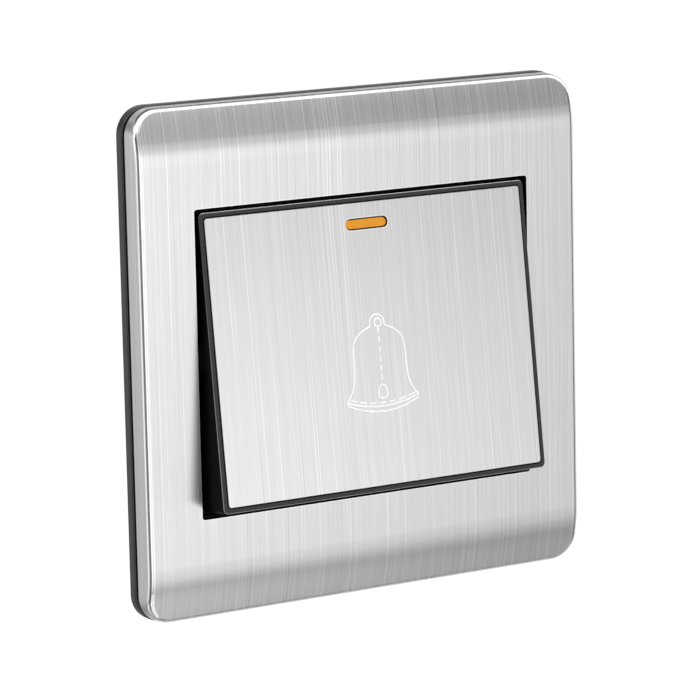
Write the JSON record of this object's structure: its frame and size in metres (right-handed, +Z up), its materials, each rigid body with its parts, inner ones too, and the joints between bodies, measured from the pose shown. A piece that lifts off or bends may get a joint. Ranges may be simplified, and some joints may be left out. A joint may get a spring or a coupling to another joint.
{
  "type": "doorbell push button",
  "caption": "Flush wall doorbell push: square brushed steel plate over a black frame, one large tilting rocker with an amber window, sprung bell contact inside.",
  "frame": {"origin": "middle of the two box screw slots, on the plane of the wall", "axes": "+X to the right seen from the front, +Y into the wall, +Z up; the front faces -Y"},
  "size_m": [0.0864, 0.0367, 0.0864],
  "materials": {
    "brushed_steel": "vertical brushed stainless sheet",
    "frame_black": "semi-gloss black polycarbonate",
    "rocker_black": "gloss black polycarbonate",
    "housing_black": "fine satin black moulding",
    "amber": "amber tinted, slightly frosted",
    "plunger_white": "natural moulded nylon",
    "copper": "bare rolled copper strip",
    "silver": "silver alloy, satin",
    "brass": "machined brass",
    "zinc_steel": "bright zinc plate",
    "spring_steel": "drawn wire",
    "board": "green solder mask",
    "resistor": "painted ceramic body",
    "bronze_strip": "tinned bronze strip"
  },
  "bodies": {
    "fixed": {"steel_plate": "brushed_steel", "cover_frame": "frame_black", "mounting_frame": "frame_black", "mechanism_cover": "housing_black", "base_housing": "housing_black", "housing_screws": "zinc_steel", "fixed_contacts": "silver", "return_spring": "spring_steel", "terminal_screws": "zinc_steel", "terminal_left": "brass", "terminal_right": "brass", "contact_arm_left": "brass", "contact_arm_right": "brass", "indicator_board": "board", "indicator_lamp": "amber", "indicator_resistor": "resistor", "lamp_contact_left": "bronze_strip", "lamp_contact_right": "bronze_strip"},
    "rocker": {"rocker_carrier": "rocker_black", "rocker_skin": "brushed_steel", "indicator_lens": "amber"},
    "plunger": {"contact_plunger": "plunger_white", "contact_spring": "spring_steel"},
    "bridge": {"contact_bridge": "copper", "bridge_contacts": "silver"}
  },
  "joints": [
    {"name": "rocker_hinge", "type": "hinge", "parent": "fixed", "child": "rocker", "pos_m": [0, -0.00484, 0], "axis": [1, 0, 0], "range_deg": [0, 6], "stiffness_Nm_per_rad": 0.4, "springref_deg": -7.16},
    {"name": "plunger_slide", "type": "slide", "parent": "fixed", "child": "plunger", "axis": [0, 1, 0], "range_m": [0, 0.00169], "deforming": ["return_spring"]},
    {"name": "bridge_slide", "type": "slide", "parent": "plunger", "child": "bridge", "axis": [0, -1, 0], "range_m": [0, 0.000536], "deforming": ["contact_spring"]}
  ],
  "couplings": [
    {"joint": "plunger_slide", "follows": "rocker_hinge", "m_per_rad": 0.01608},
    {"joint": "bridge_slide", "follows": "rocker_hinge", "m_per_rad": 0.0051}
  ]
}
